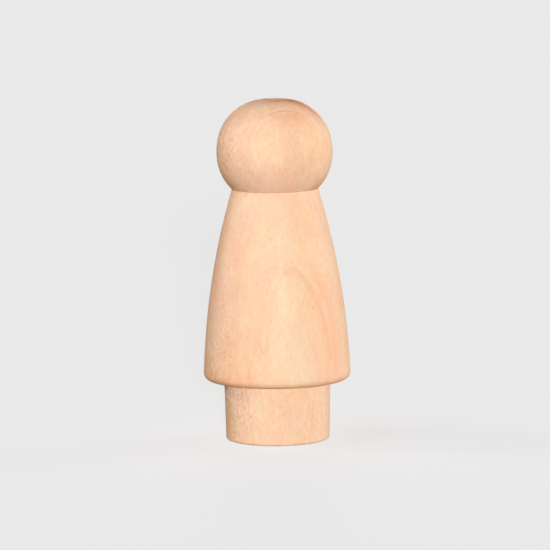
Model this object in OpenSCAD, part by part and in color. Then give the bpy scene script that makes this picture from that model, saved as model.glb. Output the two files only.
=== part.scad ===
// Turned wooden peg doll: a ball head on a flared dress, which stands on a round foot.
// The three turned sections meet face to face, and a fluted dowel pin is glued across each joint.
// Millimetres, +Z up. The origin is the middle of the flat face that the doll stands on.

/* [Foot] */
// Height of the foot, from the face that the doll stands on to the underside of the dress
foot_h = 15.7; // [12:0.1:26]
// Diameter of the foot at the floor
foot_bottom_d = 27.1; // [20:0.1:31]
// Diameter of the foot where it meets the dress
foot_top_d = 27.8; // [20:0.1:31]
// Rounding of the foot's bottom edge
foot_edge_r = 0.6; // [0.2:0.1:2]

/* [Dress] */
// Height of the dress, from its underside to the neck
dress_h = 49.9; // [35:0.1:75]
// Diameter of the dress at its hem, before the lower edge is rounded
hem_d = 38.5; // [34:0.1:52]
// Diameter of the neck, where the head stands on the dress
neck_d = 22.5; // [16:0.1:25]
// Radius of the long arc that the dress follows from its hem to the neck
flare_r = 191.5; // [80:0.5:500]
// Rounding of the hem's lower edge
hem_edge_r = 1.8; // [0.4:0.1:3.5]

/* [Head] */
// Height of the head, from the neck to the small flat on its crown
head_h = 23.3; // [19:0.1:28]
// Widest diameter of the head
head_d = 30.2; // [27:0.1:36]
// Radius of the arc on the side of the head
cheek_r = 16.4; // [14:0.1:20]
// Radius of the arc over the top of the head
crown_r = 12.8; // [9:0.1:13.8]
// Angle above the widest level at which the side arc turns into the crown arc
crown_start = 12.6; // [4:0.2:30]
// Angle below the widest level at which the side arc turns in towards the neck
jaw_start = 10.4; // [4:0.2:16]

/* [Neck dowel] */
// Diameter of the dowel pin between head and dress
neck_pin_d = 6; // [4:0.5:10]
// Length of the dowel pin between head and dress
neck_pin_l = 20; // [14:1:30]
// Length of that pin that stands in the head
neck_pin_in_head = 10; // [6:1:12]

/* [Foot dowel] */
// Diameter of the dowel pin between dress and foot
foot_pin_d = 8; // [5:0.5:12]
// Length of the dowel pin between dress and foot
foot_pin_l = 25; // [16:1:32]
// Length of that pin that stands in the foot
foot_pin_in_foot = 10; // [5:0.5:11]

/* [Glued joints] */
// Gap between a pin and its bore, all round, which the glue fills
glue_gap = 0.05; // [0.02:0.01:0.2]
// Room left above a pin at the closed end of its upper bore
bore_spare = 1; // [0.2:0.1:2]
// Chamfer round the mouth of each bore
mouth_chamfer = 0.6; // [0.2:0.1:1]
// Chamfer on both ends of a pin
pin_chamfer = 0.8; // [0.3:0.1:1.5]
// Number of glue flutes round a pin
flute_count = 12; // [6:1:14]
// Radius of the round flutes
flute_r = 0.5; // [0.3:0.05:0.6]
// Depth of the flutes
flute_depth = 0.35; // [0.15:0.05:0.5]

/* [Hidden] */
$fn = 160;
// Segments of the dress's long arc, which is a small piece of a wide circle
flare_segments = 1200;

wood_color = [0.95, 0.80, 0.64];
foot_wood_color = [0.93, 0.78, 0.62];
pin_color = [0.80, 0.63, 0.44];

foot_bottom_r = foot_bottom_d / 2;
foot_top_r = foot_top_d / 2;
hem_r = hem_d / 2;
neck_r = neck_d / 2;
head_r = head_d / 2;

// Levels of the joints and of the crown
neck_z = foot_h + dress_h;
crown_z = neck_z + head_h;
widest_z = crown_z - crown_r - (cheek_r - crown_r) * sin(crown_start);

// Length past every outline, for the wedges and blanks that cut it
overrun = crown_z + hem_d + head_d;
// Depth by which one arc of an outline laps over the next, so that they cross at one clear point
arc_lap = 0.004;
// Angle by which a slice of a disc runs on inside its neighbour
lap_angle = 12;
// Width of the straight core inside an outline, next to the neck, as a share of the neck's radius
core_share = 0.8;

neck_pin_z = neck_z + neck_pin_in_head - neck_pin_l;
foot_pin_z = foot_h - foot_pin_in_foot;

// A point at an angle and a distance from the origin of a half outline
function polar(angle, radius) = [radius * cos(angle), radius * sin(angle)];

// The angle at which a point is seen from a centre
function bearing(centre, point) = atan2(point.y - centre.y, point.x - centre.x);

// The centre, on the axis side, of an arc of a given radius that joins two points of a half outline
function arc_centre(low, high, radius) =
    let (chord = high - low, half = norm(chord) / 2)
    (low + high) / 2 + [-chord.y, chord.x] / norm(chord) * sqrt(radius * radius - half * half);

// The radius of an arc that leaves a point at right angles to a direction and meets a second point
function radius_through(start, inward, finish) =
    let (span = finish - start)
    (span * span) / (2 * (span * inward));

// Slice of a disc between two angles less than half a turn apart
module disc_slice(centre, radius, from_angle, to_angle)
{
    mid_angle = (from_angle + to_angle) / 2;
    wedge_r = 2 * radius;
    translate(centre)
        intersection() {
            circle(r = radius);
            polygon([
                [0, 0],
                polar(from_angle, wedge_r),
                polar(mid_angle, wedge_r),
                polar(to_angle, wedge_r)
            ]);
        }
}

// Turns a half outline about the doll's axis, faced off square at its two ends
module turned(bottom_z, top_z)
{
    rotate_extrude()
        intersection() {
            union() children();
            translate([0, bottom_z])
                square([overrun, top_z - bottom_z]);
        }
}

// Half outline of the head: jaw arc, side arc and crown arc, each running smoothly into the next
module head_outline()
{
    neck_edge = [neck_r, neck_z];
    cheek_centre = [head_r - cheek_r, widest_z];
    crown_centre = cheek_centre + polar(crown_start, cheek_r - crown_r);
    jaw_top = cheek_centre + polar(-jaw_start, cheek_r);
    jaw_inward = -polar(-jaw_start, 1);
    jaw_r = radius_through(jaw_top, jaw_inward, neck_edge);
    jaw_centre = jaw_top + jaw_inward * jaw_r;
    core_r = core_share * neck_r;

    disc_slice(jaw_centre, jaw_r + arc_lap, -90, lap_angle - jaw_start);
    disc_slice(cheek_centre, cheek_r, -jaw_start, crown_start);
    disc_slice(crown_centre, crown_r + arc_lap, crown_start - lap_angle, 90 + lap_angle);
    polygon([
        [0, neck_z - overrun],
        [core_r, neck_z - overrun],
        [core_r, widest_z],
        [max(crown_centre.x, 0), crown_z + arc_lap],
        [0, crown_z + arc_lap]
    ]);
}

// Half outline of the dress: flat underside, rounded hem and one long arc up to the neck
module dress_outline()
{
    hem_corner = [hem_r, foot_h];
    neck_edge = [neck_r, neck_z];
    flare_centre = arc_centre(hem_corner, neck_edge, flare_r);
    edge_rise = foot_h + hem_edge_r - flare_centre.y;
    edge_reach = sqrt(pow(flare_r - hem_edge_r, 2) - edge_rise * edge_rise);
    edge_centre = flare_centre + [edge_reach, edge_rise];
    edge_top = bearing(flare_centre, edge_centre);
    flare_top = bearing(flare_centre, neck_edge);

    disc_slice(edge_centre, hem_edge_r + arc_lap, -90 - lap_angle, edge_top + lap_angle);
    disc_slice(flare_centre, flare_r, edge_top, flare_top + lap_angle, $fn = flare_segments);
    polygon([
        [0, foot_h - hem_edge_r],
        [edge_centre.x, foot_h - hem_edge_r],
        edge_centre + polar(-90, hem_edge_r / 2),
        edge_centre + polar(edge_top, hem_edge_r / 2),
        [core_share * neck_r, neck_z + hem_edge_r],
        [0, neck_z + hem_edge_r]
    ]);
}

// Half outline of the foot: flat bottom, rounded edge and a wall that leans out a little
module foot_outline()
{
    lean = atan2(foot_top_r - foot_bottom_r, foot_h);
    edge_centre = [foot_bottom_r - foot_edge_r * (1 - sin(lean)) / cos(lean), foot_edge_r];
    wall_start = edge_centre + polar(-lean, foot_edge_r);

    disc_slice(edge_centre, foot_edge_r + arc_lap, -90 - lap_angle, lap_angle - lean);
    polygon([
        [0, -foot_edge_r],
        [edge_centre.x, -foot_edge_r],
        edge_centre + polar(-90, foot_edge_r / 2),
        edge_centre + polar(-lean, foot_edge_r / 2),
        wall_start,
        [foot_top_r, foot_h],
        [0, foot_h]
    ]);
}

// Blind bore for a pin, opening at z = 0 and running up, with a chamfered mouth
module bore(pin_d, depth)
{
    bore_r = pin_d / 2 + glue_gap;
    rotate_extrude()
        polygon([
            [0, -overrun],
            [bore_r + mouth_chamfer, -overrun],
            [bore_r + mouth_chamfer, 0],
            [bore_r, mouth_chamfer],
            [bore_r, depth],
            [0, depth]
        ]);
}

// The same bore, opening at z = 0 and running down
module bore_down(pin_d, depth)
{
    mirror([0, 0, 1])
        bore(pin_d, depth);
}

// Dowel pin that stands on z = 0, with chamfered ends and straight glue flutes
module dowel_pin(pin_d, length)
{
    pin_r = pin_d / 2;
    difference() {
        rotate_extrude()
            polygon([
                [0, 0],
                [pin_r - pin_chamfer, 0],
                [pin_r, pin_chamfer],
                [pin_r, length - pin_chamfer],
                [pin_r - pin_chamfer, length],
                [0, length]
            ]);
        for (i = [0 : flute_count - 1])
            rotate([0, 0, i * 360 / flute_count])
                translate([pin_r + flute_r - flute_depth, 0, -length / 2])
                    cylinder(h = 2 * length, r = flute_r, $fn = 32);
    }
}

// Ball head with a small flat on its crown and a blind bore in its base
module head()
{
    color(wood_color)
        difference() {
            turned(neck_z, crown_z) head_outline();
            translate([0, 0, neck_z])
                bore(neck_pin_d, neck_pin_in_head + bore_spare);
        }
}

// Flared dress, bored from above for the head's pin and from below for the foot's
module dress()
{
    color(wood_color)
        difference() {
            turned(foot_h, neck_z) dress_outline();
            translate([0, 0, neck_z])
                bore_down(neck_pin_d, neck_pin_l - neck_pin_in_head);
            translate([0, 0, foot_h])
                bore(foot_pin_d, foot_pin_l - foot_pin_in_foot + bore_spare);
        }
}

// Round foot, the peg that the doll stands on, with a blind bore in its top
module foot()
{
    color(foot_wood_color)
        difference() {
            turned(0, foot_h) foot_outline();
            translate([0, 0, foot_h])
                bore_down(foot_pin_d, foot_pin_in_foot);
        }
}

// Pin between head and dress, standing on the bottom of the dress's upper bore
module neck_dowel()
{
    color(pin_color)
        translate([0, 0, neck_pin_z])
            dowel_pin(neck_pin_d, neck_pin_l);
}

// Pin between dress and foot, standing on the bottom of the foot's bore
module foot_dowel()
{
    color(pin_color)
        translate([0, 0, foot_pin_z])
            dowel_pin(foot_pin_d, foot_pin_l);
}

head();
dress();
foot();
neck_dowel();
foot_dowel();
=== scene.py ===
import math

import bpy
from mathutils import Matrix, Vector, noise


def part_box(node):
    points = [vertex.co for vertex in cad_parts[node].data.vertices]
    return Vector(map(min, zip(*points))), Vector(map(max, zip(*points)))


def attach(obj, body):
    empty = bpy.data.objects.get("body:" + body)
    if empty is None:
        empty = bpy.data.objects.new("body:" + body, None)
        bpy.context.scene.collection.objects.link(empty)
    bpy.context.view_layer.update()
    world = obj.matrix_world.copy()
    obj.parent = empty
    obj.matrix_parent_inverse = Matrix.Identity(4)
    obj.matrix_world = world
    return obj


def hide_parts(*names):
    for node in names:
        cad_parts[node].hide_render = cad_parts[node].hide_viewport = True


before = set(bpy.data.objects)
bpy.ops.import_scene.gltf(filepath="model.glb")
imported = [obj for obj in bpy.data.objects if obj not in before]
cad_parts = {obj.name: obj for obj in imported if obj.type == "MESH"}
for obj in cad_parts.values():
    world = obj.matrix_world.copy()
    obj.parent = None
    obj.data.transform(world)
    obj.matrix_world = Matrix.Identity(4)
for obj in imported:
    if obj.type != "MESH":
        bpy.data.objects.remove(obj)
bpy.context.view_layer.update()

# Lengths are millimetres, the unit of the doll's own sizes, and become metres where Blender takes them
MM = 0.001
TURN = 2 * math.pi

# Levels and widest radii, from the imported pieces
foot_top_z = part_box("foot")[1].z / MM
neck_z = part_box("dress")[1].z / MM
crown_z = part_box("head")[1].z / MM
head_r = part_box("head")[1].x / MM
foot_top_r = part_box("foot")[1].x / MM

# Outline of the foot
foot_bottom_r = 13.55
foot_edge_r = 0.6

# Outline of the dress
hem_r = 19.25
hem_edge_r = 1.8
flare_r = 191.5
neck_r = 11.25

# Outline of the head
cheek_r = 16.4
crown_r = 12.8
crown_start = 12.6
jaw_start = 10.4

# Bores for the dowel pins
neck_bore_r = 3.05
foot_bore_r = 4.05
mouth_chamfer = 0.6
bore_spare = 1.0

# Marks that the lathe and the sandpaper left
arris_ease = 0.12
parting_x = 1.3
parting_r = 3.9
parting_groove_w = 1.0
parting_groove_depth = 0.1
centre_mark_r = 0.8
centre_mark_depth = 0.35
facing_pitch = 1.1
facing_depth = 0.05
sanding_depth = 0.06
sanding_reach = 11.0

# Fineness of the meshes
lathe_steps = 224
arc_step = 0.3
crown_step = 0.15
crown_fine_start = 58
least_arc_steps = 6
ease_steps = 4
facing_steps = 4
sharp_angle = 32


def polar(angle, radius):
    """Point of a half outline at an angle in degrees and a distance from its origin."""
    turned = math.radians(angle)
    return Vector((radius * math.cos(turned), radius * math.sin(turned)))


def bearing(centre, point):
    """Angle in degrees at which a point of a half outline is seen from a centre."""
    span = point - centre
    return math.degrees(math.atan2(span.y, span.x))


def arc(centre, radius, start, end, step=arc_step):
    """Points of an arc between two angles in degrees, about one step apart."""
    length = abs(math.radians(end - start)) * radius
    steps = max(least_arc_steps, math.ceil(length / step))
    return [centre + polar(start + (end - start) * i / steps, radius) for i in range(steps + 1)]


def straight(start, end, step=2 * arc_step):
    """Points of a straight stretch of an outline, ends included."""
    steps = max(1, math.ceil((end - start).length / step))
    return [start.lerp(end, i / steps) for i in range(steps + 1)]


def eased(before, corner, after):
    """A corner rounded by sandpaper, between the points on either side of it."""
    start = corner + (before - corner).normalized() * arris_ease
    end = corner + (after - corner).normalized() * arris_ease
    shares = [i / ease_steps for i in range(ease_steps + 1)]
    return [start.lerp(corner, share).lerp(corner.lerp(end, share), share) for share in shares]


def bore(radius, mouth_z, end_z):
    """Outline of a blind bore, from its closed end on the axis to the edge of its chamfered mouth."""
    inwards = math.copysign(mouth_chamfer, end_z - mouth_z)
    return [
        Vector((0, end_z)),
        Vector((radius, end_z)),
        Vector((radius, mouth_z + inwards)),
        Vector((radius + mouth_chamfer, mouth_z)),
    ]


def head_outline():
    """Half outline of the head, from the end of its bore round to the middle of the crown."""
    neck_edge = Vector((neck_r, neck_z))
    widest_z = crown_z - crown_r - (cheek_r - crown_r) * math.sin(math.radians(crown_start))
    cheek_centre = Vector((head_r - cheek_r, widest_z))
    crown_centre = cheek_centre + polar(crown_start, cheek_r - crown_r)
    jaw_top = cheek_centre + polar(-jaw_start, cheek_r)
    jaw_inward = -polar(-jaw_start, 1)
    span = neck_edge - jaw_top
    jaw_r = span.dot(span) / (2 * span.dot(jaw_inward))
    jaw_centre = jaw_top + jaw_inward * jaw_r
    jaw_bottom = bearing(jaw_centre, neck_edge)
    jaw = arc(jaw_centre, jaw_r, jaw_bottom, -jaw_start)[1:]
    flat_edge = Vector((crown_centre.x, crown_z))
    hollow = bore(neck_bore_r, neck_z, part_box("neck_dowel")[1].z / MM + bore_spare)
    base = straight(hollow[-1], neck_edge)
    return (
        hollow
        + base[1:-1]
        + eased(base[-2], neck_edge, jaw[0])
        + jaw
        + arc(cheek_centre, cheek_r, -jaw_start, crown_start)[1:]
        + arc(crown_centre, crown_r, crown_start, crown_fine_start)[1:]
        + arc(crown_centre, crown_r, crown_fine_start, 90, crown_step)[1:]
        + straight(flat_edge, Vector((0, crown_z)), crown_step)[1:]
    )


def dress_outline():
    """Half outline of the dress, from the end of its lower bore round to the end of its upper one."""
    hem_corner = Vector((hem_r, foot_top_z))
    neck_edge = Vector((neck_r, neck_z))
    chord = neck_edge - hem_corner
    half = chord.length / 2
    middle = (hem_corner + neck_edge) / 2
    to_centre = Vector((-chord.y, chord.x)).normalized()
    flare_centre = middle + to_centre * math.sqrt(flare_r ** 2 - half ** 2)
    edge_rise = foot_top_z + hem_edge_r - flare_centre.y
    edge_reach = math.sqrt((flare_r - hem_edge_r) ** 2 - edge_rise ** 2)
    edge_centre = flare_centre + Vector((edge_reach, edge_rise))
    edge_top = bearing(flare_centre, edge_centre)
    flare = arc(flare_centre, flare_r, edge_top, bearing(flare_centre, neck_edge))
    lower = bore(foot_bore_r, foot_top_z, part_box("foot_dowel")[1].z / MM + bore_spare)
    upper = bore(neck_bore_r, neck_z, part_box("neck_dowel")[0].z / MM)[::-1]
    return (
        lower
        + straight(lower[-1], Vector((edge_centre.x, foot_top_z)))[1:-1]
        + arc(edge_centre, hem_edge_r, -90, edge_top)
        + flare[1:-1]
        + eased(flare[-2], neck_edge, upper[0])
        + straight(neck_edge, upper[0])[1:-1]
        + upper
    )


def foot_outline():
    """Half outline of the foot, from the middle of its underside round to the end of its bore."""
    top_edge = Vector((foot_top_r, foot_top_z))
    lean = math.atan2(foot_top_r - foot_bottom_r, foot_top_z)
    edge_in = foot_edge_r * (1 - math.sin(lean)) / math.cos(lean)
    edge_centre = Vector((foot_bottom_r - edge_in, foot_edge_r))
    round_edge = arc(edge_centre, foot_edge_r, -90, -math.degrees(lean))
    wall = straight(round_edge[-1], top_edge)
    upper = bore(foot_bore_r, foot_top_z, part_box("foot_dowel")[0].z / MM)[::-1]
    facing_end = edge_centre.x - facing_pitch
    steps = math.floor((facing_end - centre_mark_r) / facing_pitch * facing_steps)
    underside = [Vector((0, centre_mark_depth)), Vector((centre_mark_r, 0))]
    for i in range(1, steps + 1):
        radius = centre_mark_r + i * facing_pitch / facing_steps
        height = facing_depth * (1 - math.cos(TURN * i / facing_steps)) / 2
        underside.append(Vector((radius, height)))
    return (
        underside
        + round_edge
        + wall[1:-1]
        + eased(wall[-2], top_edge, upper[0])
        + straight(top_edge, upper[0])[1:-1]
        + upper
    )


def sanded(point):
    """A surface point moved towards the axis by the small unevenness of hand sanding."""
    depth = sanding_depth * (1 + noise.noise(point / sanding_reach)) / 2
    radius = math.hypot(point.x, point.y)
    share = max(0, 1 - depth / radius)
    return Vector((point.x * share, point.y * share, point.z))


def softened(share):
    """A share from 0 to 1 with soft ends."""
    return share * share * (3 - 2 * share)


def parted(point):
    """A point of the crown lowered in the ring that the parting tool left, a little off the axis."""
    if point.z < crown_z - crown_r / 2:
        return point
    away = math.hypot(point.x - parting_x, point.y) - parting_r
    share = max(0, 1 - abs(away) / (parting_groove_w / 2))
    return point - Vector((0, 0, parting_groove_depth * softened(share)))


def lathe(name, outline, node, material):
    """Turns an outline that starts and ends on the axis into a closed piece in place of a CAD node."""
    points = [Vector((0, 0, outline[0].y))]
    for spot in outline[1:-1]:
        for i in range(lathe_steps):
            angle = TURN * i / lathe_steps
            around = Vector((spot.x * math.cos(angle), spot.x * math.sin(angle), spot.y))
            points.append(parted(sanded(around)))
    points.append(Vector((0, 0, outline[-1].y)))

    rings = len(outline) - 2
    last = len(points) - 1
    faces = []
    for i in range(lathe_steps):
        following = (i + 1) % lathe_steps
        faces.append((0, 1 + following, 1 + i))
        for ring in range(rings - 1):
            low = 1 + ring * lathe_steps
            high = low + lathe_steps
            faces.append((low + i, low + following, high + following, high + i))
        top = 1 + (rings - 1) * lathe_steps
        faces.append((top + i, top + following, last))

    mesh = bpy.data.meshes.new(name)
    mesh.from_pydata([point * MM for point in points], [], faces)
    mesh.validate()
    mesh.polygons.foreach_set("use_smooth", [True] * len(mesh.polygons))
    mesh.set_sharp_from_angle(angle=math.radians(sharp_angle))
    mesh.materials.append(material)
    piece = bpy.data.objects.new(name, mesh)
    bpy.context.scene.collection.objects.link(piece)
    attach(piece, "root")
    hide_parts(node)
    return piece


# Sockets of a Mix node that hold a mix of two colours
mix_share_input = 0
mix_first_input = 6
mix_second_input = 7
mix_output = 2


class Shader:
    """One material's node tree, with short calls that each add a node and return its output."""

    def __init__(self, name):
        self.material = bpy.data.materials.new(name)
        self.material.use_nodes = True
        self.tree = self.material.node_tree
        self.surface = self.tree.nodes["Principled BSDF"]
        self.place = self.node("TexCoord")
        self.point = self.vector("DIVIDE", self.place.outputs["Object"], (MM, MM, MM))

    def put(self, socket, value):
        """Links an output to a socket, or sets the socket's own value."""
        if isinstance(value, bpy.types.NodeSocket):
            self.tree.links.new(value, socket)
        else:
            socket.default_value = value

    def node(self, kind, *values, **settings):
        """Adds a node, sets it up and feeds its inputs in their order."""
        made = self.tree.nodes.new("ShaderNode" + kind)
        for setting, value in settings.items():
            setattr(made, setting, value)
        for socket, value in zip(made.inputs, values):
            self.put(socket, value)
        return made

    def math(self, operation, *values):
        """Adds a sum on numbers."""
        return self.node("Math", *values, operation=operation).outputs[0]

    def vector(self, operation, *values, output="Vector"):
        """Adds a sum on points."""
        return self.node("VectorMath", *values, operation=operation).outputs[output]

    def noise(self, kind, shift=None, output="Fac"):
        """Noise of a named kind: sizes across and along the grain in millimetres, detail and roughness."""
        across, along, detail, roughness = kind
        point = self.vector("ADD", self.point, shift) if shift else self.point
        made = self.node("TexNoise")
        self.put(made.inputs["Vector"], self.vector("DIVIDE", point, (across, across, along)))
        self.put(made.inputs["Scale"], 1.0)
        self.put(made.inputs["Detail"], detail)
        self.put(made.inputs["Roughness"], roughness)
        return made.outputs[output]

    def stripes(self, value, per_mm):
        """Noise that changes only with one value in millimetres."""
        made = self.node("TexNoise", noise_dimensions="1D")
        self.put(made.inputs["W"], value)
        self.put(made.inputs["Scale"], per_mm)
        self.put(made.inputs["Detail"], stripe_detail)
        return made.outputs[0]

    def remap(self, value, low, high, to_low=0.0, to_high=1.0, smooth=True):
        """Maps a range onto another, with soft ends unless told otherwise, and never past it."""
        made = self.node("MapRange", interpolation_type="SMOOTHSTEP" if smooth else "LINEAR")
        for socket, number in zip(made.inputs, (value, low, high, to_low, to_high)):
            self.put(socket, number)
        return made.outputs["Result"]

    def mix(self, share, first, second, kind="MIX"):
        """Mixes two colours by a share that may vary over the surface."""
        made = self.node("Mix", data_type="RGBA", blend_type=kind)
        self.put(made.inputs[mix_share_input], share)
        self.put(made.inputs[mix_first_input], first)
        self.put(made.inputs[mix_second_input], second)
        return made.outputs[mix_output]

    def cast_over(self, share, tint, cast):
        """A tint multiplied by a cast, where and as far as the share says."""
        return self.mix(share, tint, cast, "MULTIPLY")

    def nearness(self, point, centre, reach):
        """1 at a centre, falling softly to 0 at a reach that is given along X, Y and Z."""
        span = self.vector("DIVIDE", self.vector("SUBTRACT", point, centre), reach)
        return self.remap(self.vector("LENGTH", span, output="Value"), 1.0, 0.0)

    def strongest(self, point, spots, start):
        """The greatest of a starting share and each spot's strength, which fades out over its reach."""
        share = start
        for centre, reach, strength in spots:
            here = self.math("MULTIPLY", self.nearness(point, centre, reach), strength)
            share = self.math("MAXIMUM", share, here)
        return share

    def complete(self, tint, roughness, shine, height, strength, depth_mm):
        """Feeds the surface its colour, roughness, shine and fine relief, and returns the material."""
        bump = self.node("Bump")
        self.put(bump.inputs["Strength"], strength)
        self.put(bump.inputs["Distance"], depth_mm * MM)
        self.put(bump.inputs["Height"], height)
        self.put(self.surface.inputs["Base Color"], tint)
        self.put(self.surface.inputs["Roughness"], roughness)
        self.put(self.surface.inputs["Specular IOR Level"], shine)
        self.put(self.surface.inputs["Normal"], bump.outputs["Normal"])
        return self.material


def colour(red, green, blue):
    """An opaque colour, as linear light."""
    return (red, green, blue, 1.0)


# Growth rings: their spacing, how far behind the doll the pith lies, and how much they wander
ring_spacing = 5.5
pith_away = 90.0
ring_wander = 1.0

# Places across a ring, as shares of its width, going in towards the pith from one line to the next
early_end_share = 0.09
late_start_share = 0.04
late_peak_share = 0.16
late_end_share = 0.80
inner_start_share = 0.35
inner_full_share = 0.66
inner_fade_share = 0.93
line_start_share = 0.90
line_peak_share = 0.965

# How far rings show where no spot says more
faintest_line_share = 0.05
clearest_line_share = 0.45
plain_late_share = 0.22
plain_inner_share = 0.06
weakest_ring_share = 0.7

# Noises of the wood: sizes across and along the grain, detail and roughness
wander_noise = (9.0, 26.0, 1.0, 0.5)
clear_noise = (6.0, 14.0, 2.0, 0.5)
stray_noise = (3.0, 5.0, 3.0, 0.6)
cloud_noise = (4.0, 7.0, 4.0, 0.6)
straw_noise = (4.0, 8.0, 4.0, 0.6)
mottle_noise = (1.5, 2.2, 2.0, 0.6)
fibre_noise = (0.45, 2.2, 2.0, 0.6)
speck_noise = (0.75, 1.1, 2.0, 0.6)
pore_noise = (0.30, 0.9, 1.0, 0.5)
fuzz_noise = (0.42, 0.80, 2.0, 0.55)
shade_fleck_noise = (0.46, 0.90, 2.0, 0.55)
pin_fibre_noise = (0.3, 4.5, 3.0, 0.6)
pin_fleck_noise = (0.4, 1.6, 1.0, 0.5)

# Shifts that keep noises of like size apart
straw_shift = (31.0, 17.0, 5.0)
mottle_shift = (3.0, 41.0, 19.0)
pore_shift = (7.0, 3.0, 11.0)
shade_fleck_shift = (13.0, 29.0, 3.0)

# Stripes that change with one value: their detail, and how many noise cells fit in a millimetre
stripe_detail = 2.0
band_per_mm = 0.35
circle_per_mm = 2.2

# Ranges over which each noise comes in
clear_range = (0.40, 0.66)
band_range = (0.3, 0.75)
cloud_range = (0.42, 0.60)
mottle_range = (0.38, 0.62)
grain_range = (0.32, 0.68)
pore_range = (0.68, 0.80)
fuzz_range = (0.44, 0.66)
shade_fleck_range = (0.44, 0.68)
circle_range = (0.46, 0.66)
fibre_range = (0.3, 0.7)
pin_fleck_range = (0.6, 0.72)

# How upright a surface is where end grain starts to show, and where it shows in full
end_range = (0.86, 0.99)

# How far patches and rough spots stray from their even outlines
noise_mean = 0.5
stray_reach = (5.0, 5.0, 8.0)

# Darker ring along the parted ring: it is full up to the first distance and gone at the second
rim_range = (0.1, 0.75)

# Parts of the surface's relief, and its depth
fibre_share = 0.5
grain_relief_share = 0.6
pore_relief_share = -0.4
fuzz_relief_share = 0.36
rough_relief_share = 0.22
relief_share = 0.8
relief_mm = 0.24

# Roughness and shine of the bare wood, and how much of its roughness end grain and circles add
smooth_roughness = 0.64
coarse_roughness = 0.76
end_roughness = 0.2
wood_shine = 0.2
circle_share = 0.5
plain_rough_share = 0.12

# Wood colours, as linear light, and the casts that multiply them
pale_wood = colour(0.934, 0.637, 0.432)
warm_wood = colour(0.921, 0.599, 0.394)
late_cast = colour(0.990, 0.880, 0.790)
line_cast = colour(0.940, 0.810, 0.700)
early_cast = colour(1.0, 1.050, 1.070)
pink_cast = colour(1.0, 0.950, 0.960)
straw_cast = colour(1.0, 1.040, 0.990)
grain_cast = colour(0.950, 0.915, 0.885)
mottle_light = colour(1.015, 1.030, 1.050)
mottle_dark = colour(0.985, 0.970, 0.950)
# Painted highlight and painted shade, for the flecks on raised fibres; the highlight also makes a few
# paler patches, and the shade the lathe's circles
painted_light_cast = colour(1.080, 1.165, 1.260)
painted_shade_cast = colour(0.825, 0.705, 0.615)
pore_cast = colour(0.92, 0.82, 0.74)
end_cast = colour(0.93, 0.88, 0.85)
rim_cast = colour(0.70, 0.60, 0.43)

# Look of the pins
pin_tint = colour(0.66, 0.45, 0.27)
pin_grain_tint = colour(0.55, 0.35, 0.19)
pin_fleck_tint = colour(0.38, 0.21, 0.11)
pin_relief_share = 0.6
pin_relief_mm = 0.06
pin_smooth_roughness = 0.6
pin_coarse_roughness = 0.75
pin_shine = 0.28


def ring_depth(sh, facing, tilt):
    """Distance outwards from the tree's pith, less that of the doll's axis, in millimetres."""
    turned = math.radians(facing)
    outwards = (math.sin(turned), -math.cos(turned), tilt)
    sideways = (math.cos(turned), math.sin(turned), 0)
    out = sh.vector("DOT_PRODUCT", sh.point, outwards, output="Value")
    side = sh.vector("DOT_PRODUCT", sh.point, sideways, output="Value")
    around = sh.node("CombineXYZ", sh.math("ADD", out, pith_away), side).outputs[0]
    depth = sh.math("SUBTRACT", sh.vector("LENGTH", around, output="Value"), pith_away)
    drift = sh.math("SUBTRACT", sh.noise(wander_noise), noise_mean)
    return sh.math("MULTIPLY_ADD", drift, ring_wander, depth)


def growth_rings(sh, depth, level, clear_spots, dark_spots, inner_spots, inner_cast, tint):
    """Going in towards the pith: a cast up to each ring's line, the line, then dark wood that fades."""
    rings = sh.math("DIVIDE", sh.math("SUBTRACT", level, depth), ring_spacing)
    number = sh.math("FLOOR", rings)
    within = sh.math("SUBTRACT", rings, number)

    clearness = sh.remap(sh.noise(clear_noise), *clear_range, faintest_line_share, clearest_line_share)
    clearness = sh.strongest(sh.point, clear_spots, clearness)
    rise = sh.remap(within, line_start_share, line_peak_share)
    fall = sh.remap(within, line_peak_share, 1.0, 1.0, 0.0)
    line = sh.math("MULTIPLY", sh.math("MULTIPLY", rise, fall), clearness)

    darkness = sh.strongest(sh.point, dark_spots, plain_late_share)
    onset = sh.remap(within, late_start_share, late_peak_share)
    late = sh.math("MULTIPLY", onset, sh.remap(within, late_peak_share, late_end_share, darkness, 0.0))
    seed = sh.node("TexWhiteNoise", noise_dimensions="1D")
    sh.put(seed.inputs["W"], number)
    strength = sh.remap(seed.outputs["Value"], 0.0, 1.0, weakest_ring_share, 1.0, smooth=False)

    inner = sh.strongest(sh.point, inner_spots, plain_inner_share)
    approach = sh.remap(within, inner_start_share, inner_full_share)
    inner = sh.math("MULTIPLY", approach, sh.remap(within, inner_fade_share, 1.0, inner, 0.0))

    tint = sh.cast_over(inner, tint, inner_cast)
    tint = sh.cast_over(sh.math("MULTIPLY", late, strength), tint, late_cast)
    tint = sh.cast_over(line, tint, line_cast)
    early = sh.math("MULTIPLY", sh.remap(within, 0.0, early_end_share, 1.0, 0.0), clearness)
    return sh.cast_over(early, tint, early_cast)


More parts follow.
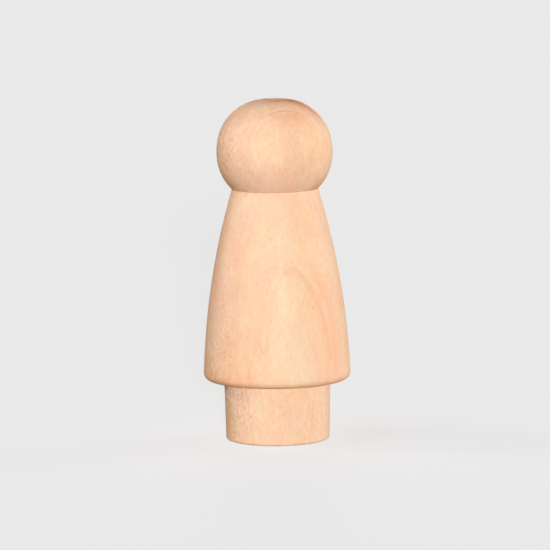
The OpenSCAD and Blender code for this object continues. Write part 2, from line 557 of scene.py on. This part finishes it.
def wood(
    name, facing, tilt, level, clear_spots, dark_spots, inner_spots, inner_cast,
    rough_spots, mottling, patches, middle_x=0, rim_r=None,
):
    """Bare sanded pale wood, with the growth rings facing one way round the doll."""
    sh = Shader(name)
    upright = sh.math("ABSOLUTE", sh.node("SeparateXYZ", sh.place.outputs["Normal"]).outputs["Z"])
    end_grain = sh.remap(upright, *end_range)
    means = (noise_mean, noise_mean, noise_mean)
    stray = sh.vector("SUBTRACT", sh.noise(stray_noise, output="Color"), means)
    strayed = sh.vector("MULTIPLY_ADD", stray, stray_reach, sh.point)

    depth = ring_depth(sh, facing, tilt)
    tint = sh.mix(sh.remap(sh.stripes(depth, band_per_mm), *band_range), pale_wood, warm_wood)
    tint = growth_rings(sh, depth, level, clear_spots, dark_spots, inner_spots, inner_cast, tint)
    tint = sh.cast_over(sh.remap(sh.noise(cloud_noise), *cloud_range), tint, pink_cast)
    tint = sh.cast_over(sh.remap(sh.noise(straw_noise, straw_shift), *cloud_range), tint, straw_cast)
    mottle = sh.remap(sh.noise(mottle_noise, mottle_shift), *mottle_range)
    tint = sh.cast_over(mottling, tint, sh.mix(mottle, mottle_light, mottle_dark))

    # Fibres, specks and pores
    fibre = sh.noise(fibre_noise)
    grain = sh.math("MULTIPLY", fibre, fibre_share)
    grain = sh.math("MULTIPLY_ADD", sh.noise(speck_noise), 1 - fibre_share, grain)
    tint = sh.cast_over(sh.remap(grain, *grain_range), tint, grain_cast)
    pores = sh.remap(sh.noise(pore_noise, pore_shift), *pore_range)
    tint = sh.cast_over(pores, tint, pore_cast)

    # Raised fibres: beside their relief, their lit and shaded sides are painted into the colour as flecks
    # of painted highlight and painted shade
    rough = sh.strongest(strayed, rough_spots, plain_rough_share)
    fuzz = sh.noise(fuzz_noise)
    lit = sh.math("MULTIPLY", sh.remap(fuzz, *fuzz_range), rough)
    tint = sh.cast_over(lit, tint, painted_light_cast)
    shade = sh.math("MULTIPLY", sh.remap(sh.noise(shade_fleck_noise, shade_fleck_shift), *shade_fleck_range), rough)
    tint = sh.cast_over(shade, tint, painted_shade_cast)

    # End grain in its own darker colour, and the circles that the lathe left, drawn as rings of painted
    # shade
    tint = sh.cast_over(end_grain, tint, end_cast)
    flat = sh.vector("MULTIPLY", sh.vector("SUBTRACT", sh.point, (middle_x, 0, 0)), (1, 1, 0))
    radius = sh.vector("LENGTH", flat, output="Value")
    circles = sh.math("MULTIPLY", sh.remap(sh.stripes(radius, circle_per_mm), *circle_range), end_grain)
    tint = sh.cast_over(sh.math("MULTIPLY", circles, circle_share), tint, painted_shade_cast)

    for centre, reach, strength, cast in patches:
        share = sh.math("MULTIPLY", sh.nearness(strayed, centre, reach), strength)
        tint = sh.cast_over(share, tint, cast)
    if rim_r:
        from_rim = sh.math("ABSOLUTE", sh.math("SUBTRACT", radius, rim_r))
        rim = sh.math("MULTIPLY", sh.remap(from_rim, *rim_range, 1.0, 0.0), end_grain)
        tint = sh.cast_over(rim, tint, rim_cast)

    relief = sh.math("MULTIPLY", grain, grain_relief_share)
    relief = sh.math("MULTIPLY_ADD", pores, pore_relief_share, relief)
    standing = sh.math("MULTIPLY_ADD", rough, rough_relief_share, fuzz_relief_share)
    relief = sh.math("MULTIPLY_ADD", fuzz, standing, relief)
    roughness = sh.remap(fibre, *fibre_range, smooth_roughness, coarse_roughness)
    roughness = sh.math("MULTIPLY_ADD", end_grain, end_roughness, roughness)
    return sh.complete(tint, roughness, wood_shine, relief, relief_share, relief_mm)


def dowel_wood():
    """Darker straight-grained wood of the two pins."""
    sh = Shader("dowel_wood")
    fibre = sh.noise(pin_fibre_noise)
    flecks = sh.remap(sh.noise(pin_fleck_noise), *pin_fleck_range)
    tint = sh.mix(flecks, sh.mix(fibre, pin_tint, pin_grain_tint), pin_fleck_tint)
    roughness = sh.remap(fibre, *fibre_range, pin_smooth_roughness, pin_coarse_roughness)
    return sh.complete(tint, roughness, pin_shine, fibre, pin_relief_share, pin_relief_mm)


# Casts of the broad patches
cream = colour(1.0, 1.120, 1.150)
blond = colour(1.0, 1.060, 1.100)
# Painted light, which makes the sides of the head, dress and foot paler
painted_light_patch = colour(1.060, 1.065, 1.080)
# Painted reflection of the dress's warm light
painted_bounce_pink = colour(1.0, 0.935, 0.960)
peach = colour(1.0, 0.935, 0.885)
flame = colour(1.0, 0.890, 0.830)
amber = colour(0.84, 0.67, 0.56)
apricot = colour(1.0, 0.85, 0.79)
cool = colour(1.0, 1.005, 1.060)
chill = colour(0.94, 0.97, 1.03)
mauve = colour(1.01, 0.99, 1.16)
tan = colour(0.93, 0.79, 0.68)
lilac = colour(1.04, 1.02, 1.10)
umber = colour(0.86, 0.76, 0.62)
# Painted shade, browner, under the jaw and at the hem's lower left
painted_shade_brown = colour(0.92, 0.84, 0.68)

# Reach of a patch that goes all the way round
all_round = 60.0

# Patches in the wood's colour, some of them painted light, painted shade or a painted reflection: a centre
# in millimetres, a reach, a strength and a cast
head_patches = (
    ((2.9, -0.8, 88.9), (6.4, 5.4, 12.0), 1.6, tan),
    ((4.4, -1.4, 88.9), (4.0, 4.2, 12.0), 1.0, umber),
    ((6.2, -2.6, 88.3), (4.4, 4.0, 12.0), 1.3, tan),
    ((8.8, -2.0, 87.1), (4.6, 4.6, 12.0), 1.2, amber),
    ((11.0, -1.8, 85.2), (3.4, 4.0, 8.0), 0.8, apricot),
    ((6.8, -4.6, 87.2), (6.0, 4.0, 12.0), 0.9, apricot),
    ((-1.8, -5.6, 88.0), (6.5, 3.0, 12.0), 1.0, mauve),
    ((-5.0, -11.0, 67.6), (9.0, 6.0, 3.5), 0.6, mauve),
    ((6.0, -10.5, 83.4), (8.0, 5.0, 5.0), 0.8, peach),
    ((2.6, -14.4, 79.6), (5.0, 4.0, 5.0), 0.8, peach),
    ((6.6, -12.8, 73.6), (5.0, 5.0, 5.0), 0.5, peach),
    ((-4.4, -14.0, 76.2), (6.0, 5.0, 4.5), 0.5, cream),
    ((10.5, -10.0, 76.0), (8.0, 7.0, 10.0), 1.0, peach),
    # Painted reflection: pinker on the front of the jaw, where the dress gives back warm light
    ((2.5, -13.0, 69.8), (13.0, 6.0, 5.0), 1.0, painted_bounce_pink),
    # Painted light on the head's left side
    ((-11.9, -8.4, 79.6), (6.0, 6.0, 7.0), 1.0, painted_light_patch),
    ((-8.5, -9.5, 80.0), (10.0, 9.0, 12.0), 1.2, cool),
    # Painted light on the head's left and right edges
    ((-14.4, -4.6, 79.0), (4.0, 6.0, 5.5), 1.0, painted_light_patch),
    ((14.4, -4.6, 77.5), (4.0, 6.0, 7.0), 0.9, painted_light_patch),
    # Painted shade under the jaw, at the neck on both sides and lower on the left
    ((-10.8, -4.0, 66.6), (5.4, 6.0, 5.0), 1.1, umber),
    ((10.4, -4.4, 67.0), (5.0, 6.0, 4.6), 1.0, umber),
    ((-13.4, -5.6, 71.0), (3.6, 5.0, 4.5), 0.5, painted_shade_brown),
)
dress_patches = (
    ((2.4, -14.6, 52.0), (3.8, 6.0, 9.0), 0.9, cream),
    ((-7.5, -9.6, 62.5), (6.5, 5.0, 6.5), 0.9, blond),
    ((-6.0, -10.0, 60.0), (11.0, 6.0, 12.0), 0.9, cool),
    ((1.0, -16.2, 42.0), (3.6, 6.0, 14.0), 0.6, cream),
    # Painted light on the dress's left side
    ((-12.0, -8.4, 54.0), (6.5, 6.0, 20.0), 1.0, painted_light_patch),
    ((-11.0, -14.8, 24.0), (9.5, 7.0, 13.0), 1.0, peach),
    ((10.3, -13.8, 38.0), (4.2, 6.0, 12.0), 0.9, flame),
    ((15.5, -8.5, 32.0), (8.5, 11.0, 26.0), 0.8, peach),
    ((6.8, -16.4, 34.0), (4.2, 4.0, 10.0), 1.0, peach),
    ((9.6, -15.4, 26.0), (3.6, 4.0, 9.0), 0.7, peach),
    # Painted light on the dress's left side
    ((-13.0, -8.6, 46.0), (5.0, 6.0, 12.0), 0.8, painted_light_patch),
    ((-14.0, -10.5, 31.0), (7.0, 8.0, 18.0), 0.6, lilac),
    ((13.9, -12.4, 25.0), (5.0, 7.0, 14.0), 0.8, flame),
    ((7.3, -11.2, 59.0), (5.2, 6.0, 11.0), 0.8, peach),
    ((-3.8, -16.6, 38.5), (5.5, 5.0, 7.0), 0.6, peach),
    ((-7.3, -17.5, 21.0), (1.7, 5.0, 8.0), 0.8, flame),
    ((-5.2, -18.1, 20.5), (1.5, 5.0, 8.0), 0.7, cream),
    # Painted shade at the hem's lower left
    ((-15.0, -11.2, 16.8), (8.0, 7.5, 3.2), 1.0, painted_shade_brown),
    # Warmer and darker all round the hem's lower edge: partly the end grain's own colour, partly painted
    # shade where the hem overhangs the foot
    ((0.0, 0.0, 15.9), (all_round, all_round, 3.8), 1.2, peach),
    ((-10.0, -16.0, 17.4), (14.0, 8.0, 4.5), 0.8, flame),
    # Painted shade at the hem's lower left edge
    ((-17.6, -6.6, 18.6), (4.0, 7.0, 4.8), 0.7, painted_shade_brown),
    # Painted shade all round the hem's underside, above the foot
    ((0.0, 0.0, 14.9), (all_round, all_round, 3.2), 0.8, apricot),
    # Painted light on the dress's upper left side
    ((-11.0, -3.6, 60.5), (3.2, 5.0, 9.0), 0.5, painted_light_cast),
)
foot_patches = (
    # Painted light on the foot's left side
    ((-9.6, -9.8, 11.2), (5.5, 6.0, 6.0), 1.0, painted_light_patch),
    ((-5.8, -12.2, 10.8), (4.6, 4.0, 5.0), 0.7, painted_light_patch),
    ((-8.5, -10.4, 9.0), (9.0, 8.0, 12.0), 1.2, cool),
    ((5.0, -12.6, 14.4), (9.0, 4.0, 3.4), 0.9, peach),
    ((8.6, -11.2, 8.0), (2.4, 3.0, 9.0), 0.5, flame),
    ((12.4, -5.8, 12.6), (5.0, 6.0, 5.0), 0.8, chill),
    # Painted light at the top of the foot's left side
    ((-12.6, -5.6, 13.6), (5.0, 6.0, 4.0), 0.7, painted_light_patch),
    ((-13.2, -4.2, 5.0), (3.4, 6.0, 7.0), 0.7, umber),
    # Painted light at the top of the foot's left side, under the hem
    ((-11.0, -8.4, 14.8), (5.5, 5.5, 3.2), 0.7, painted_light_cast),
)

# Places where a ring's line shows clearly: a centre in millimetres, a reach and a strength
head_lines = (
    ((4.0, -9.2, 86.2), (10.0, 6.0, 4.5), 1.3),
    ((9.5, -10.5, 76.0), (4.0, 5.0, 9.0), 0.4),
    ((-5.5, -12.0, 81.0), (4.5, 5.0, 6.0), 0.5),
)
dress_lines = (
    ((-6.0, -11.5, 60.0), (5.0, 5.0, 11.0), 0.45),
    ((5.5, -15.0, 45.5), (6.0, 4.0, 6.0), 0.7),
    ((8.9, -14.4, 41.2), (4.0, 4.0, 7.5), 0.7),
    ((12.2, -13.4, 31.0), (5.0, 5.0, 17.0), 0.5),
    ((-3.2, -18.2, 27.0), (3.5, 4.0, 11.0), 0.55),
)
foot_lines = (
    ((8.0, -11.2, 9.0), (4.0, 4.0, 10.0), 0.4),
)

# Places where the wood beyond a line is darker, in the same form
head_dark = (
    ((9.0, -10.8, 78.0), (6.0, 6.0, 9.0), 0.5),
)
dress_dark = (
    ((12.0, -13.0, 36.0), (6.0, 7.0, 22.0), 1.0),
    ((-4.5, -17.0, 27.0), (6.0, 6.0, 18.0), 0.7),
)
foot_dark = (
    ((8.0, -11.2, 9.0), (4.0, 5.0, 12.0), 0.5),
)

# Places where the wood inside a line takes a cast of its own, in the same form
head_inner = (
    ((3.4, -10.0, 85.6), (9.0, 6.0, 5.0), 1.0),
)
dress_inner = (
    ((4.5, -17.0, 27.0), (11.0, 9.0, 27.0), 1.0),
)
foot_inner = (
    ((-4.5, -13.0, 11.0), (5.0, 5.0, 8.0), 0.5),
)

# Places where fibres stand up and carry flecks of painted highlight and painted shade, in the same form
head_rough = (
    ((-13.2, -7.0, 76.0), (8.0, 10.0, 13.0), 1.15),
)
dress_rough = (
    ((-15.4, -11.0, 23.0), (11.0, 14.0, 22.0), 0.72),
    ((-17.4, -7.0, 21.0), (5.0, 8.0, 12.0), 0.85),
    ((-14.0, -9.0, 42.0), (8.0, 11.0, 16.0), 0.5),
    ((-12.6, -8.0, 54.0), (6.5, 9.0, 16.0), 0.45),
)
foot_rough = (
    ((-11.0, -8.0, 9.5), (9.5, 10.0, 17.0), 1.15),
)

head_wood = wood(
    "head_wood", facing=14.5, tilt=0.19, level=26.0,
    clear_spots=head_lines, dark_spots=head_dark, inner_spots=head_inner, inner_cast=flame,
    rough_spots=head_rough, mottling=1.0, patches=head_patches,
    middle_x=parting_x, rim_r=parting_r,
)
dress_wood = wood(
    "dress_wood", facing=18.2, tilt=0.046, level=12.42,
    clear_spots=dress_lines, dark_spots=dress_dark, inner_spots=dress_inner, inner_cast=cream,
    rough_spots=dress_rough, mottling=0.4, patches=dress_patches,
)
foot_wood = wood(
    "foot_wood", facing=0.3, tilt=0.03, level=11.8,
    clear_spots=foot_lines, dark_spots=foot_dark, inner_spots=foot_inner, inner_cast=cream,
    rough_spots=foot_rough, mottling=1.0, patches=foot_patches,
)

lathe("turned_head", head_outline(), "head", head_wood)
lathe("turned_dress", dress_outline(), "dress", dress_wood)
lathe("turned_foot", foot_outline(), "foot", foot_wood)

pin_wood = dowel_wood()
for pin in ("neck_dowel", "foot_dowel"):
    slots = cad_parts[pin].material_slots
    for slot in slots:
        slot.material = pin_wood

# Camera, worked out from the outline of the doll in the photograph
image_px = 550
focal_px = 3700
doll_px = 341.3
px_mm = crown_z / doll_px
camera_pitch = 7.363
camera_roll = 0.698
aim_z = 42.93
aim_x = -0.266
sensor_mm = 36.0
clip_near_mm = 10
clip_far_mm = 20000

# Gap between the floor and the doll, so that their faces don't share one plane
floor_gap = 0.02


def make_camera():
    """Long lens in front of the doll and a little above it, at the photograph's distance and roll."""
    data = bpy.data.cameras.new("camera")
    data.sensor_width = sensor_mm
    data.lens = sensor_mm * focal_px / image_px
    camera = bpy.data.objects.new("camera", data)
    bpy.context.scene.collection.objects.link(camera)
    distance = focal_px * px_mm
    pitch = math.radians(camera_pitch)
    place = Vector((aim_x, -distance * math.cos(pitch), aim_z + distance * math.sin(pitch)))
    look = Matrix.Rotation(TURN / 4 - pitch, 4, "X")
    roll = Matrix.Rotation(-math.radians(camera_roll), 4, "Z")
    camera.matrix_world = Matrix.Translation(place * MM) @ look @ roll
    data.clip_start = clip_near_mm * MM
    data.clip_end = clip_far_mm * MM
    bpy.context.scene.camera = camera


def lamp(name, heading, elevation, spread, share, tint=(1.0, 1.0, 1.0)):
    """Even soft light from one side, which lights a white face turned to it by a share of white."""
    data = bpy.data.lights.new(name, "SUN")
    data.angle = math.radians(spread)
    data.color = tint
    data.energy = share * math.pi
    made = bpy.data.objects.new(name, data)
    bpy.context.scene.collection.objects.link(made)
    around = math.radians(heading)
    up = math.radians(elevation)
    away = Vector((math.sin(around) * math.cos(up), -math.cos(around) * math.cos(up), math.sin(up)))
    made.location = away
    made.rotation_mode = "QUATERNION"
    made.rotation_quaternion = away.to_track_quat("Z", "Y")


def seen_share(tree):
    """1 for rays from the camera, a mirror or glass, which see the pale background, and 0 for light."""
    path = tree.nodes.new("ShaderNodeLightPath")
    total = path.outputs["Is Camera Ray"]
    for name in ("Is Glossy Ray", "Is Transmission Ray"):
        either = tree.nodes.new("ShaderNodeMath")
        either.operation = "MAXIMUM"
        tree.links.new(total, either.inputs[0])
        tree.links.new(path.outputs[name], either.inputs[1])
        total = either.outputs[0]
    return total


def make_world(light, tint, seen):
    """Even surrounding light, behind a pale background."""
    world = bpy.data.worlds.new("studio")
    bpy.context.scene.world = world
    world.use_nodes = True
    tree = world.node_tree
    plain = tree.nodes["Background"]
    plain.inputs["Color"].default_value = colour(*tint)
    plain.inputs["Strength"].default_value = light
    shown = tree.nodes.new("ShaderNodeBackground")
    shown.inputs["Color"].default_value = colour(*seen)
    choice = tree.nodes.new("ShaderNodeMixShader")
    tree.links.new(seen_share(tree), choice.inputs[0])
    tree.links.new(plain.outputs[0], choice.inputs[1])
    tree.links.new(shown.outputs[0], choice.inputs[2])
    tree.links.new(choice.outputs[0], tree.nodes["World Output"].inputs["Surface"])


def make_floor(reach, surface, glow):
    """Plain pale floor: it takes the doll's shadow, and shows paler than the light that it gives back."""
    mesh = bpy.data.meshes.new("floor")
    edge = reach * MM
    level = -floor_gap * MM
    corners = [
        (-edge, -edge, level),
        (edge, -edge, level),
        (edge, edge, level),
        (-edge, edge, level),
    ]
    mesh.from_pydata(corners, [], [range(len(corners))])
    floor = bpy.data.objects.new("floor", mesh)
    bpy.context.scene.collection.objects.link(floor)
    material = bpy.data.materials.new("floor")
    material.use_nodes = True
    tree = material.node_tree
    tree.nodes.remove(tree.nodes["Principled BSDF"])
    matt = tree.nodes.new("ShaderNodeBsdfDiffuse")
    matt.inputs["Color"].default_value = colour(surface, surface, surface)
    light = tree.nodes.new("ShaderNodeEmission")
    light.inputs["Color"].default_value = colour(glow, glow, glow)
    tree.links.new(seen_share(tree), light.inputs["Strength"])
    both = tree.nodes.new("ShaderNodeAddShader")
    tree.links.new(matt.outputs[0], both.inputs[0])
    tree.links.new(light.outputs[0], both.inputs[1])
    tree.links.new(both.outputs[0], tree.nodes["Material Output"].inputs["Surface"])
    mesh.materials.append(material)


make_camera()
lamp("key", heading=2, elevation=9, spread=6, share=0.985)
lamp("high", heading=-60, elevation=58, spread=25, share=0.15)
lamp("right", heading=112, elevation=7, spread=20, share=0.72)
lamp("left", heading=-99, elevation=32, spread=15, share=0.25, tint=(1.0, 0.86, 0.82))
lamp("back", heading=180, elevation=8, spread=30, share=0.45)
make_world(light=0.05, tint=(0.96, 0.97, 1.0), seen=(0.80, 0.80, 0.79))
make_floor(reach=60000, surface=0.24, glow=0.675)

bpy.context.scene.view_settings.view_transform = "Standard"
